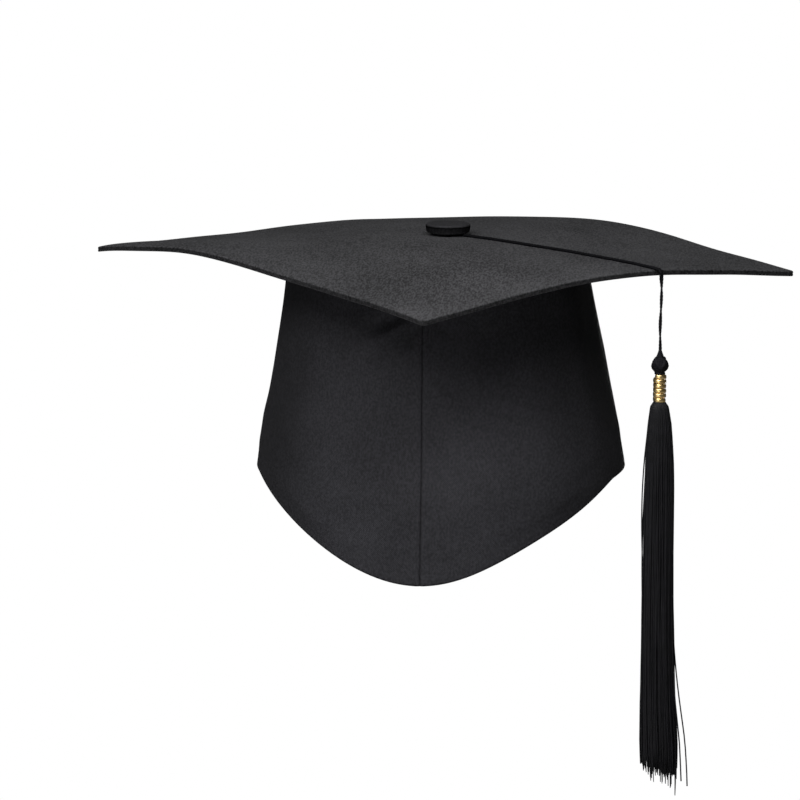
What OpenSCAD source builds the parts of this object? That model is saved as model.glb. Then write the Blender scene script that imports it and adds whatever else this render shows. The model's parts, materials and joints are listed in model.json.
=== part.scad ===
// Graduation cap: a sagging square board on a soft peaked crown, with a
// fabric-covered button and a tassel that hangs from a cord looped round the button.
// Millimetres. +Z is up and the front peak points along -Y, so +X is the wearer's left.
// The origin is the centre of the head opening, level with the rim at the wearer's sides.

/* [Board] */
// Length of each side of the square board
board_side = 245; // [235:1:255]
// Radius of the sphere that the board sags to
dome_radius = 1120; // [900:10:1600]
// Rounding of the board's corners in plan
board_corner_radius = 3; // [1:0.5:6]
// Thickness of the flexible sheet inside the board
stiffener_thickness = 1.3; // [1:0.1:2]
// Thickness of the cloth over and under the board
cover_thickness = 0.5; // [0.4:0.05:0.8]

/* [Crown] */
// Height from the rim at the wearer's sides to the seam under the board
crown_height = 112; // [95:1:125]
// Outside radius of the crown at the seam under the board
crown_top_radius = 74.5; // [70:0.5:78]
// Outside radius of the crown at the rim, for a 58 cm head
crown_rim_radius = 92.3; // [88:0.1:96]
// Drop of the front peak below the rim at the sides
peak_drop = 41; // [25:1:50]
// Drop of the nape below the rim at the sides
nape_drop = 17; // [5:1:25]
// Outward flare of the wall below the sides' rim, as radius over height
peak_flare = 0.06; // [0:0.01:0.15]
// Thickness of the outer cloth
outer_thickness = 0.5; // [0.4:0.05:0.7]
// Thickness of the stiff interlining behind the outer cloth
interlining_thickness = 0.5; // [0.3:0.05:0.7]
// Thickness of the lining
lining_thickness = 0.3; // [0.2:0.05:0.4]
// Width of the cloth that is turned in at the board seam
seam_allowance = 8; // [5:1:12]

/* [Head band] */
// Height of the band inside the rim
band_height = 28; // [20:1:35]
// Thickness of the sweatband
sweatband_thickness = 0.7; // [0.5:0.1:1]
// Thickness of the relaxed elastic at the back
elastic_thickness = 1; // [0.8:0.1:1.2]
// Half of the angle that the elastic spans at the back
elastic_half_angle = 37; // [25:1:45]

/* [Button] */
// Radius of the covered button
button_radius = 11.25; // [9:0.25:13]
// Height of the button's head
button_height = 5.1; // [4:0.1:6]
// Radius of the shank that the cord loop turns on
shank_radius = 2.5; // [2:0.1:3.5]

/* [Tassel cord] */
// Radius of one strand of the doubled cord
strand_radius = 0.55; // [0.4:0.05:0.7]
// Direction of the cord over the board, measured from +X about +Z
cord_angle = -32; // [-58:1:-32]
// Length of cord that hangs below the board's top edge, down to the tassel's head
drop_length = 39.3; // [38:0.1:60]

/* [Tassel] */
// Radius of the round head
head_radius = 4.2; // [3.5:0.1:5]
// Number of turns of gilt wire round the neck
coil_turns = 5.5; // [4:0.5:8]
// Rise of the gilt wire in one turn
coil_pitch = 2.2; // [1.9:0.1:2.6]
// Length of the skirt below the neck
skirt_length = 180; // [150:1:190]
// Radius of the skirt at its lower end
skirt_radius = 9; // [7:0.5:11]

/* [Hidden] */
$fn = 96;

cloth = [0.13, 0.13, 0.14];
lining_cloth = [0.09, 0.09, 0.1];
sheet_colour = [0.75, 0.75, 0.72];
tin = [0.72, 0.72, 0.74];
gilt = [0.83, 0.62, 0.25];
yarn = [0.05, 0.05, 0.06];
white_weave = [0.85, 0.85, 0.83];

layer_gap = 0.05;   // air between two sewn layers
shank_gap = 0.08;   // running clearance on the shank and in the bead
lie_gap = 0.15;     // air between the cord and the board
fine_fn = 256;      // facets of the big spheres

// Board, from its upper surface down
stiffener_depth = cover_thickness + layer_gap;
allowance_depth = stiffener_depth + stiffener_thickness + layer_gap;
bottom_cover_depth = allowance_depth + outer_thickness + layer_gap;
board_thickness = bottom_cover_depth + cover_thickness;
board_apex_z = crown_height + board_thickness + sag(crown_top_radius);
dome_centre_z = board_apex_z - dome_radius;
stiffener_inset = 1;   // between the sheet's edge and the cloth

// Crown layers, inwards from the outer face
interlining_inset = outer_thickness + layer_gap;
lining_inset = interlining_inset + interlining_thickness + layer_gap;
band_inset = lining_inset + lining_thickness + layer_gap;
casing_inset = band_inset + elastic_thickness + layer_gap;
casing_thickness = 0.3;
label_inset = casing_inset + casing_thickness + layer_gap;
label_thickness = 0.35;
label_size = [24, 14];
seam_plane_gap = 0.05;     // each half stops this far from the seam plane
interlining_margin = 7;    // the interlining ends this far above the rim
band_margin = 1.5;         // the bands start this far above the rim
peak_power = 1.3;          // shape of the peak's edge: less is fuller
nape_power = 1.6;          // shape of the nape's edge
rim_steps = 14;            // straight steps in each half of a rim profile
reach = 130;               // beyond the crown in plan
below = 60;                // beyond the peak's tip

// Button
button_underside_z = board_apex_z + 2 * strand_radius + 2 * lie_gap;
button_edge_radius = 2;
button_top_arc = 60;
button_cloth = 0.45;
shell_metal = 0.4;
back_plate = 0.8;
rivet_radius = 1.5;
washer_thickness = 0.6;
rivet_head = [6, 0.7];     // radius and thickness

// Cord. Each child piece starts in a small ball on its hinge, and its parent stops short of it.
ball_radius = strand_radius + 0.07;
strand_offset = strand_radius - 0.05;   // the two strands press into each other
ball_stop = ball_radius + layer_gap;
drop_radius = 0.9;
drop_ball_radius = 1;
drop_stop = drop_ball_radius + layer_gap;
bend_radius = 2.2;
bend_tail = 0.6;           // straight piece at the end of the bend
loop_radius = shank_radius + shank_gap + strand_radius;
lie_height = strand_radius + lie_gap;
lift_pivot_r = button_radius + ball_radius + 0.6;
edge_r = board_side / 2 / cos(45 + cord_angle);   // from the centre to the board's edge, along the cord
out_pivot_r = edge_r + ball_radius;
out_pivot_slope = asin(out_pivot_r / (dome_radius + lie_height));
out_pivot_z = cord_z(out_pivot_r);
hang_r = out_pivot_r + bend_radius * (1 - sin(out_pivot_slope));
bend_end_z = out_pivot_z - bend_radius * cos(out_pivot_slope);
side_pivot_z = bend_end_z - bend_tail - drop_stop;

// Tassel, on the hanging axis
edge_z = board_apex_z - sag(edge_r);
head_z = edge_z - drop_length - head_radius - 1.2;
bead_radius = head_radius - 0.9;
bead_bore = drop_radius + shank_gap;
knot_radius = 1.5;
knot_z = head_z - 1.9;
tie_height = 3.2;
coil_wire = [0.6, 0.85];   // half the wire's size across and along the neck
coil_radius = 2.6;
coil_steps = 24;
coil_sides = 8;
neck_radius = coil_radius - coil_wire[0] - layer_gap;
neck_top_z = head_z - head_radius + 0.1;
coil_top_z = head_z - head_radius - 0.35;
neck_end_z = coil_top_z - coil_turns * coil_pitch - 2 * coil_wire[1];

// Sag of the board's upper surface at a distance from its centre
function sag(r) = dome_radius - sqrt(pow(dome_radius, 2) - pow(r, 2));

// Height of a layer of the board at a depth below the upper surface
function dome_z(r, depth) = dome_centre_z + sqrt(pow(dome_radius - depth, 2) - pow(r, 2));

// Height of the centre of a strand that lies on the board
function cord_z(r) = dome_z(r, -lie_height);

// Outside radius of the crown at a height
function crown_r(z) = z > 0
    ? crown_rim_radius + (crown_top_radius - crown_rim_radius) * z / crown_height
    : crown_rim_radius - z * peak_flare;

// Share of the full drop that the rim has at u, which is 0 at the seam and 1 at the wearer's side
function rim_share(u, power) = pow(cos(90 * min(u, 1)), power);

function arc(centre, radius, from, to, steps) = [
    for (i = [0 : steps])
        let (a = from + (to - from) * i / steps) centre + radius * [cos(a), sin(a)]
];

// ---------- helpers ----------

module rounded_square(side, r) {
    square([side - 2 * r, side], center = true);
    square([side, side - 2 * r], center = true);
    for (x = [-1, 1], y = [-1, 1])
        translate([x, y] * (side / 2 - r)) circle(r);
}

// The pole of each ball is turned away from the board
module dome_ball(depth) {
    translate([0, 0, dome_centre_z]) rotate([90, 0, 0]) sphere(dome_radius - depth, $fn = fine_fn);
}

module dome_layer(from, to) {
    difference() {
        dome_ball(from);
        dome_ball(to);
    }
}

// A square slab of the board between two depths, with its corners on the axes
module board_slab(inset, from, to) {
    intersection() {
        translate([0, 0, board_apex_z - 30]) rotate([0, 0, 45]) linear_extrude(height = 40)
            rounded_square(board_side - 2 * inset, max(board_corner_radius - inset, 0.5));
        dome_layer(from, to);
    }
}

module shank_hole() {
    translate([0, 0, board_apex_z - 10]) cylinder(r = shank_radius + layer_gap, h = 20);
}

// A ring of crown wall between two insets from the outer face
module crown_wall(inset, thickness, top = crown_height) {
    low = -peak_drop - 5;
    rotate_extrude() polygon([
        [crown_r(top) - inset, top], [crown_r(0) - inset, 0], [crown_r(low) - inset, low],
        [crown_r(low) - inset - thickness, low], [crown_r(0) - inset - thickness, 0],
        [crown_r(top) - inset - thickness, top]
    ]);
}

// Everything below the rim line of one side, extruded from the middle outwards
module rim_side(drop, power, radius) {
    rotate([90, 0, 0]) linear_extrude(height = reach) polygon(concat(
        [[reach, -peak_drop - below], [reach, 0]],
        [
            for (i = [rim_steps : -1 : -rim_steps])
                let (u = i / rim_steps) [u * radius, -drop * rim_share(abs(u), power)]
        ],
        [[-reach, 0], [-reach, -peak_drop - below]]
    ));
}

// Everything below the rim line, raised by lift, for a layer at the given inset
module below_rim(lift, inset) {
    radius = crown_rim_radius - inset;
    translate([0, 0, lift]) {
        rim_side(peak_drop, peak_power, radius);
        mirror([0, 1, 0]) rim_side(nape_drop, nape_power, radius);
    }
}

// Keeps the part on one side of the seam plane: +1 is the wearer's left
module half(side) {
    intersection() {
        translate([side > 0 ? seam_plane_gap : -reach - seam_plane_gap, -reach, -peak_drop - below])
            cube([reach, 2 * reach, crown_height + peak_drop + below + 30]);
        children();
    }
}

// A wedge about +Y, of the given half angle
module back_wedge(half_angle) {
    translate([0, 0, -peak_drop - below]) linear_extrude(height = crown_height + peak_drop + below)
        polygon([[0, 0], reach * 2 * [sin(half_angle), cos(half_angle)],
                 reach * 2 * [-sin(half_angle), cos(half_angle)]]);
}

// Moves its children to the tassel's hanging axis
module on_tassel_axis() {
    rotate([0, 0, cord_angle]) translate([hang_r, 0, 0]) children();
}

// ---------- board ----------

module board_stiffener() color(sheet_colour) difference() {
    board_slab(cover_thickness + stiffener_inset, stiffener_depth, stiffener_depth + stiffener_thickness);
    shank_hole();
}

// The top cloth wraps down round the board's edge
module board_top_cover() color(cloth) difference() {
    board_slab(0, 0, board_thickness);
    board_slab(cover_thickness, cover_thickness, board_thickness + 5);
    shank_hole();
}

module board_bottom_cover() color(cloth) difference() {
    board_slab(cover_thickness + layer_gap, bottom_cover_depth, board_thickness);
    translate([0, 0, board_apex_z - 20]) cylinder(r = crown_top_radius + 2 * layer_gap, h = 30);
}

// ---------- button ----------

// Half section of the button's head, offset inwards, from the centre line outwards
function button_section(inset) = let (
    r = button_radius - inset,
    e = button_edge_radius - inset,
    shoulder = button_height - button_edge_radius - pow(button_radius, 2) / 2 / button_top_arc * 0.7
) concat(
    [[0, inset]],
    arc([r - e, button_edge_radius], e, -90, 0, 6),
    arc([r - e, shoulder], e, 0, 82, 6),
    [[(r - e) / 2, button_height - inset - pow(r / 2, 2) / 2 / button_top_arc], [0, button_height - inset]]
);

module button_layer(outside, inside, opening) {
    translate([0, 0, button_underside_z]) difference() {
        rotate_extrude() polygon(button_section(outside));
        rotate_extrude() polygon(button_section(inside));
        translate([0, 0, -1]) cylinder(r = opening, h = 2.2);
    }
}

module button_cover() color(cloth) button_layer(0, button_cloth, 8.4);

module button_shell() color(tin)
    button_layer(button_cloth + layer_gap, button_cloth + layer_gap + shell_metal, 8.4);

// The back plate and its tubular shank are one piece
module button_back() color(tin) difference() {
    union() {
        translate([0, 0, button_underside_z]) cylinder(r = 8.3, h = back_plate);
        translate([0, 0, board_apex_z - allowance_depth])
            cylinder(r = shank_radius, h = allowance_depth + button_underside_z - board_apex_z + 0.4);
    }
    translate([0, 0, board_apex_z - 10]) cylinder(r = rivet_radius + layer_gap, h = 30);
}

module button_washer() color(tin)
    translate([0, 0, board_apex_z - allowance_depth - washer_thickness]) difference() {
        cylinder(r = 10, h = washer_thickness);
        translate([0, 0, -1]) cylinder(r = rivet_radius + layer_gap, h = 5);
    }

module button_rivet() color(tin)
    translate([0, 0, board_apex_z - allowance_depth - washer_thickness - layer_gap - rivet_head[1]]) {
        cylinder(r = rivet_head[0], h = rivet_head[1]);
        cylinder(r = rivet_radius, h = rivet_head[1] + washer_thickness + allowance_depth + 3.2);
    }

// ---------- crown ----------

// One half of the outer cloth, with its seam allowance turned out between sheet and bottom cover
module crown_outer(side) color(cloth) {
    low = -peak_drop - 5;
    corner_z = dome_z(crown_top_radius, allowance_depth + outer_thickness);
    hem_r = crown_top_radius + seam_allowance;
    half(side) difference() {
        rotate_extrude() polygon([
            [hem_r, dome_z(hem_r, allowance_depth)],
            [crown_r(corner_z) - outer_thickness, dome_z(crown_top_radius, allowance_depth)],
            [crown_r(0) - outer_thickness, 0], [crown_r(low) - outer_thickness, low],
            [crown_r(low), low], [crown_r(0), 0], [crown_r(corner_z), corner_z],
            [hem_r, dome_z(hem_r, allowance_depth + outer_thickness)]
        ]);
        below_rim(0, 0);
    }
}

module crown_outer_left() crown_outer(1);
module crown_outer_right() crown_outer(-1);

module crown_interlining(side) color(white_weave) half(side) difference() {
    crown_wall(interlining_inset, interlining_thickness, crown_height - 0.5);
    below_rim(interlining_margin, interlining_inset);
}

module crown_interlining_left() crown_interlining(1);
module crown_interlining_right() crown_interlining(-1);

module crown_lining(side) color(lining_cloth) half(side) difference() {
    crown_wall(lining_inset, lining_thickness, crown_height - 0.5);
    below_rim(0.3, lining_inset);
}

module crown_lining_left() crown_lining(1);
module crown_lining_right() crown_lining(-1);

module crown_ceiling_lining() color(lining_cloth)
    translate([0, 0, crown_height - 0.5 - lining_thickness])
        cylinder(r = crown_top_radius - band_inset - 0.6, h = lining_thickness);

// ---------- head band ----------

module band(inset, thickness, margin) {
    intersection() {
        difference() {
            crown_wall(inset, thickness, 60);
            below_rim(margin, inset);
        }
        below_rim(margin + band_height, inset);
    }
}

module sweatband() color(lining_cloth) difference() {
    band(band_inset, sweatband_thickness, band_margin);
    back_wedge(elastic_half_angle + 1);
}

module elastic_band() color(white_weave) intersection() {
    band(band_inset, elastic_thickness, band_margin + 1);
    back_wedge(elastic_half_angle);
}

module elastic_casing() color(lining_cloth) intersection() {
    band(casing_inset, casing_thickness, band_margin);
    back_wedge(elastic_half_angle + 0.5);
}

module size_label() color(white_weave) intersection() {
    crown_wall(label_inset, label_thickness, 60);
    translate([-label_size[0] / 2, 0, -nape_drop + 8]) cube([label_size[0], reach, label_size[1]]);
}

// ---------- tassel cord ----------

// A ring round the shank, with two tails out past the button's rim
module cord_loop() color(yarn) rotate([0, 0, cord_angle]) translate([0, 0, cord_z(0)]) {
    rotate_extrude() translate([loop_radius, 0]) circle(strand_radius);
    for (side = [-1, 1])
        translate([loop_radius - 0.3, side * strand_offset, 0]) rotate([0, 90, 0])
            cylinder(r = strand_radius, h = lift_pivot_r - ball_stop - loop_radius + 0.3);
}

// One strand on the board from one radius to another
module strand_on_board(from, to) {
    start = asin(from / (dome_radius + lie_height));
    end = asin(to / (dome_radius + lie_height));
    translate([0, 0, dome_centre_z]) rotate([90, 0, 0]) rotate([0, 0, 90 - end])
        rotate_extrude(angle = end - start) translate([dome_radius + lie_height, 0]) circle(strand_radius);
}

module cord_run() color(yarn) rotate([0, 0, cord_angle]) for (side = [-1, 1])
    translate([0, side * strand_offset, 0]) {
        translate([lift_pivot_r, 0, cord_z(lift_pivot_r)]) sphere(ball_radius);
        strand_on_board(lift_pivot_r, out_pivot_r - ball_stop);
    }

module cord_bend() color(yarn) rotate([0, 0, cord_angle]) for (side = [-1, 1])
    translate([0, side * strand_offset, 0]) {
        translate([out_pivot_r, 0, out_pivot_z]) sphere(ball_radius);
        translate([hang_r - bend_radius, 0, bend_end_z]) rotate([90, 0, 0])
            rotate_extrude(angle = 90 - out_pivot_slope) translate([bend_radius, 0]) circle(strand_radius);
        translate([hang_r, 0, bend_end_z - bend_tail]) cylinder(r = strand_radius, h = bend_tail);
    }

// The hanging cord, with the knot that holds it in the bead
module cord_drop() color(yarn) on_tassel_axis() {
    translate([0, 0, side_pivot_z]) sphere(drop_ball_radius);
    translate([0, 0, knot_z]) cylinder(r = drop_radius, h = side_pivot_z - knot_z);
    translate([0, 0, knot_z]) sphere(knot_radius);
}

// ---------- tassel ----------

module head_tie() color(yarn) on_tassel_axis() translate([0, 0, head_z + head_radius - 0.1]) difference() {
    cylinder(r1 = 2.1, r2 = 1.3, h = tie_height);
    translate([0, 0, -1]) cylinder(r = bead_bore, h = tie_height + 2);
}

module head_bead() color(yarn) on_tassel_axis() translate([0, 0, head_z]) difference() {
    sphere(bead_radius);
    translate([0, 0, -10]) cylinder(r = bead_bore, h = 20);
    translate([0, 0, knot_z - head_z - 10]) cylinder(r = knot_radius + shank_gap, h = 10.6 + knot_radius);
}

module head_wrap() color(yarn) on_tassel_axis() translate([0, 0, head_z]) difference() {
    sphere(head_radius);
    sphere(bead_radius + layer_gap);
    translate([0, 0, head_radius - 0.15]) cylinder(r = 5, h = 5);
    cylinder(r = bead_bore, h = 10);
    translate([0, 0, -10]) cylinder(r = neck_radius + 0.3, h = 10);
}

// A helix of gilt wire, swept as one polyhedron with flat ends
module neck_coil() color(gilt) on_tassel_axis() translate([0, 0, coil_top_z - coil_wire[1]]) {
    steps = coil_turns * coil_steps;
    points = [
        for (i = [0 : steps], k = [0 : coil_sides - 1])
            let (turn = 360 * i / coil_steps, a = 360 * k / coil_sides, r = coil_radius + coil_wire[0] * cos(a))
                [r * cos(turn), r * sin(turn), -coil_pitch * i / coil_steps + coil_wire[1] * sin(a)]
    ];
    sides = [
        for (i = [0 : steps - 1], k = [0 : coil_sides - 1])
            let (a = i * coil_sides + k, b = i * coil_sides + (k + 1) % coil_sides)
                [a, a + coil_sides, b + coil_sides, b]
    ];
    start = [for (k = [0 : coil_sides - 1]) k];
    end = [for (k = [coil_sides - 1 : -1 : 0]) steps * coil_sides + k];
    polyhedron(points = points, faces = concat(sides, [start], [end]));
}

// The neck passes through the coil, then the yarn swells and hangs
module tassel_skirt() color(yarn) on_tassel_axis() rotate_extrude() polygon([
    [0, neck_top_z - 1], [neck_radius, neck_top_z - 1], [neck_radius, neck_end_z],
    [skirt_radius * 0.5, neck_end_z - 1.5], [skirt_radius * 0.66, neck_end_z - 12],
    [skirt_radius * 0.8, neck_end_z - 40], [skirt_radius * 0.83, neck_end_z - skirt_length * 0.6],
    [skirt_radius, neck_end_z - skirt_length], [0, neck_end_z - skirt_length]
]);

// ---------- what each node draws ----------

board_stiffener();
board_top_cover();
board_bottom_cover();
button_cover();
button_shell();
button_back();
button_rivet();
button_washer();
crown_outer_left();
crown_outer_right();
crown_interlining_left();
crown_interlining_right();
crown_lining_left();
crown_lining_right();
crown_ceiling_lining();
sweatband();
elastic_band();
elastic_casing();
size_label();
cord_loop();
cord_run();
cord_bend();
cord_drop();
head_tie();
head_bead();
head_wrap();
neck_coil();
tassel_skirt();
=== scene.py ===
"""Looks of the graduation cap: cloth, yarn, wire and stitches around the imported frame.

Lengths in this script are millimetres until a mesh is made, in the frame's axes: +Z up, -Y towards
the front peak. A crown angle is counted in degrees from the front seam, positive to the wearer's left.
"""

import json
import math

import bpy
import numpy as np
from mathutils import Matrix, Vector


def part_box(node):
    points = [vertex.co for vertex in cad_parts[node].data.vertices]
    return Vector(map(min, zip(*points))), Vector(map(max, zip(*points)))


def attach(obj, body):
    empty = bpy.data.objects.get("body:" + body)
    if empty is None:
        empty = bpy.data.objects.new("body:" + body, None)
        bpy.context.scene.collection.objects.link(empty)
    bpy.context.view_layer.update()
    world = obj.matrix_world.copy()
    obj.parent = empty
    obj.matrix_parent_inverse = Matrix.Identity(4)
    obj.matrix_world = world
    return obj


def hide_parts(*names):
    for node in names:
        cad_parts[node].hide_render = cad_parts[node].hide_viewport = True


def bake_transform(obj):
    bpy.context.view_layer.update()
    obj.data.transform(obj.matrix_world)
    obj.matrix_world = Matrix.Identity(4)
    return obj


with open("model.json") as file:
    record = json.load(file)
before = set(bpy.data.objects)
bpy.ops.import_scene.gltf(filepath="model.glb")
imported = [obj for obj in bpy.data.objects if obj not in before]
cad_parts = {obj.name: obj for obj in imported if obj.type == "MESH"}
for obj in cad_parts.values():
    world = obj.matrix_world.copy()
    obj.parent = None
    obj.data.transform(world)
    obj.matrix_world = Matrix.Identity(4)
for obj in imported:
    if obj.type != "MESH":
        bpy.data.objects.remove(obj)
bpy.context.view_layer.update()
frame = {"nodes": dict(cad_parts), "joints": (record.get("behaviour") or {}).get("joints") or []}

MM = 0.001
TAU = 2 * math.pi


def box_mm(node):
    low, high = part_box(node)
    return np.array(low) / MM, np.array(high) / MM


def joint_mm(name):
    return np.array(next(j["pos_m"] for j in frame["joints"] if j["name"] == name)) / MM


# ---------- main sizes ----------

APEX = box_mm("board_top_cover")[1][2]      # top of the board at its centre
HALF = 122.5                                # half of the board's side
DOME = 1120.0                               # radius that the board sags to
BOARD_T = 2.6                               # thickness of the board over both cloths
PEAK = -box_mm("crown_outer_left")[0][2]    # drop of the front peak
NAPE = 17.0                                 # drop of the rim at the back
SEAM_R = 74.5                               # crown radius at the board
RIM_R = 92.3                                # crown radius at the rim's level
SEAM_Z = 112.0                              # height of the crown's seam with the board
HEM = 8.0                                   # height of the hem, all round the rim
BAND_H = 28.0                               # height of the sweatband and the elastic
# each layer of the crown's wall: (inset from the face of the outer cloth, thickness)
LAYERS = {
    "interlining": (0.7, 0.4), "lining": (1.1, 0.3), "sweatband": (1.5, 0.65), "elastic": (1.5, 1.0),
    "casing": (2.6, 0.3), "label": (4.1, 0.3),
}

# ---------- small tools ----------


def smoothstep(low, high, x):
    t = np.clip((x - low) / (high - low), 0, 1)
    return t * t * (3 - 2 * t)


def gauss(x, width):
    return np.exp(-0.5 * (x / width) ** 2)


def bell(x, y, cx, cy, width):
    return np.exp(-((x - cx) ** 2 + (y - cy) ** 2) / (2 * width * width))


class Ripple:
    """A smooth seeded field over two coordinates: a sum of sines, about 1 high."""

    def __init__(self, seed, count, wave_u, wave_v, whole_turns=False):
        r = np.random.RandomState(seed)
        self.ku = r.uniform(-1, 1, count) * TAU / wave_u
        if whole_turns:  # the field closes on itself round a full circle of u
            self.ku = np.round(self.ku)
        self.kv = r.uniform(-1, 1, count) * TAU / wave_v
        self.phase = r.uniform(0, TAU, count)

    def __call__(self, u, v):
        total = 0
        for ku, kv, phase in zip(self.ku, self.kv, self.phase):
            total = total + np.sin(ku * u + kv * v + phase)
        return total / math.sqrt(len(self.ku) / 2)


def make_object(name, points, faces, material, uv=None, body=None, slot=None, replaces=()):
    """A smooth mesh. uv, one pair for each point, is its place on the flat cloth or along the yarn."""
    mesh = bpy.data.meshes.new(name)
    mesh.from_pydata((points * MM).tolist(), [], [[int(i) for i in f] for f in faces])
    mesh.update()
    mesh.polygons.foreach_set("use_smooth", [True] * len(mesh.polygons))
    if uv is not None:
        layer = mesh.uv_layers.new(name="weave")
        corner = np.zeros(len(mesh.loops), int)
        mesh.loops.foreach_get("vertex_index", corner)
        layer.data.foreach_set("uv", uv[corner].ravel())
    mesh.materials.append(material)
    obj = bpy.data.objects.new(name, mesh)
    bpy.context.scene.collection.objects.link(obj)
    if body:
        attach(obj, body)
    if replaces:
        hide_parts(*replaces)
    return obj


def grid_faces(rows, cols, start=0, flip=False, wrap=False):
    """Quads over rows x cols points. wrap joins the last column to the first."""
    last = cols if wrap else cols - 1
    r, c = np.meshgrid(np.arange(rows - 1), np.arange(last), indexing="ij")
    r, c = r.ravel(), c.ravel()
    n = (c + 1) % cols
    quads = np.stack([r * cols + c, r * cols + n, (r + 1) * cols + n, (r + 1) * cols + c], 1) + start
    return quads[:, ::-1] if flip else quads


def sheet(name, outer, inner, material, uv, wrap=False, **how):
    """A closed piece of cloth between two grids of points."""
    rows, cols = outer.shape[:2]
    size = rows * cols
    points = [outer.reshape(-1, 3), inner.reshape(-1, 3)]
    faces = [grid_faces(rows, cols, 0, False, wrap), grid_faces(rows, cols, size, True, wrap)]
    index = np.arange(size).reshape(rows, cols)
    if wrap:
        loops = [np.r_[index[0], index[0][:1]], np.r_[index[-1], index[-1][:1]][::-1]]
    else:
        loops = [np.r_[index[0], index[1:, -1], index[-1, :-1][::-1], index[:-1, 0][::-1]]]
    for loop in loops:
        a, b = loop[:-1], loop[1:]
        faces.append(np.stack([b, a, a + size, b + size], 1))
    uv = np.tile(uv.reshape(-1, 2), (2, 1))
    make_object(name, np.concatenate(points), np.concatenate(faces), material, uv, **how)


def end_fans(sides, first, last, tip):
    """Triangles that close both ends of a tube: its first and last rings start at the points first
    and last, and the points at the ends' middles are tip and tip + 1."""
    fans = []
    for k in range(sides):
        n = (k + 1) % sides
        fans.append((first + n, first + k, tip))
        fans.append((last + k, last + n, tip + 1))
    return fans


def tube(path, radius, sides=8, lobes=0, lobe_depth=0.0, pitch=1.0, start=0):
    """Points and faces of a closed yarn along a path. Lobes turn once in a pitch, as its plies do."""
    rows = len(path)
    radius = np.broadcast_to(radius, (rows,))
    tangent = np.gradient(path, axis=0)
    tangent /= np.linalg.norm(tangent, axis=1)[:, None]
    length = np.r_[0, np.cumsum(np.linalg.norm(np.diff(path, axis=0), axis=1))]
    # a side direction that is carried along the path without twisting
    guide = np.array([0.0, 0, 1]) if abs(tangent[0][2]) < 0.9 else np.array([1.0, 0, 0])
    side = [np.cross(tangent[0], guide)]
    for t in tangent:
        carried = side[-1] - t * (side[-1] @ t)
        side.append(carried / np.linalg.norm(carried))
    side = np.array(side[1:])
    other = np.cross(tangent, side)
    angle = np.arange(sides) * TAU / sides
    lay = angle[None] - TAU * length[:, None] / pitch
    r = radius[:, None] * (1 + lobe_depth * np.cos(lobes * lay))
    ring = (path[:, None] + (r * np.cos(angle))[..., None] * side[:, None]
            + (r * np.sin(angle))[..., None] * other[:, None])
    points = np.concatenate([ring.reshape(-1, 3), path[:1], path[-1:]])
    faces = [tuple(f) for f in grid_faces(rows, sides, start, False, True)]
    faces += end_fans(sides, start, start + (rows - 1) * sides, start + rows * sides)
    share = np.broadcast_to(angle / (TAU), (rows, sides))
    along = np.broadcast_to(length[:, None], (rows, sides))
    uv = np.concatenate([np.stack([share, along], -1).reshape(-1, 2), [[0, 0], [0, length[-1]]]])
    return points, faces, uv


def yarns(name, parts, material, **how):
    """One object out of several tubes, each given as the arguments of tube."""
    points, faces, uv, count = [], [], [], 0
    for part in parts:
        p, f, t = tube(start=count, **part)
        points.append(p)
        faces += f
        uv.append(t)
        count += len(p)
    return make_object(name, np.concatenate(points), faces, material, np.concatenate(uv), **how)


# ---------- materials ----------


class Shader:
    """A node tree built by short calls."""

    def __init__(self, name):
        self.material = bpy.data.materials.new(name)
        self.material.use_nodes = True
        self.tree = self.material.node_tree
        self.bsdf = self.tree.nodes["Principled BSDF"]

    def node(self, kind, settings=None, **inputs):
        """A node whose inputs are named, or numbered as _0, _1 and so on."""
        n = self.tree.nodes.new("ShaderNode" + kind)
        for key, value in (settings or {}).items():
            setattr(n, key, value)
        for key, value in inputs.items():
            self.plug(n.inputs[int(key[1:])] if key[0] == "_" else n.inputs[key.replace("_", " ")], value)
        return n

    def plug(self, socket, value):
        if isinstance(value, bpy.types.NodeSocket):
            self.tree.links.new(value, socket)
        else:
            socket.default_value = value

    def set(self, **inputs):
        for key, value in inputs.items():
            self.plug(self.bsdf.inputs[key.replace("_", " ")], value)

    def math(self, operation, a, b=0.0, clamp=False):
        settings = {"operation": operation, "use_clamp": clamp}
        return self.node("Math", settings, _0=a, _1=b).outputs[0]

    def add(self, a, b, clamp=False):
        return self.math("ADD", a, b, clamp)

    def times(self, a, b):
        return self.math("MULTIPLY", a, b)

    def wave(self, value, turn):
        return self.math("SINE", self.times(value, turn))

    def scaled(self, vector, scale):
        return self.node("VectorMath", {"operation": "SCALE"}, _0=vector, Scale=scale).outputs[0]

    def place(self):
        """Position on the piece in millimetres."""
        return self.scaled(self.node("TexCoord").outputs["Object"], 1 / MM)

    def weave_uv(self):
        return self.node("UVMap", {"uv_map": "weave"}).outputs[0]

    def split(self, vector):
        return self.node("SeparateXYZ", Vector=vector).outputs

    def stretched(self, vector, scale):
        return self.node("Mapping", Vector=vector, Scale=scale).outputs[0]

    def noise(self, vector, scale, detail=2.0, roughness=0.5):
        return self.node("TexNoise", Vector=vector, Scale=scale, Detail=detail,
                         Roughness=roughness).outputs["Fac"]

    def ramp(self, value, low, high, to_low=0.0, to_high=1.0):
        return self.node("MapRange", Value=value, From_Min=low, From_Max=high,
                         To_Min=to_low, To_Max=to_high).outputs[0]

    def mix(self, factor, dark, light):
        """A colour between two, given as red, green and blue."""
        return self.node("Mix", {"data_type": "RGBA"}, _0=factor, _6=(*dark, 1), _7=(*light, 1)).outputs[2]

    def bump(self, height, distance, strength):
        bumped = self.node("Bump", Height=height, Distance=distance, Strength=strength)
        self.set(Normal=bumped.outputs[0])


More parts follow.
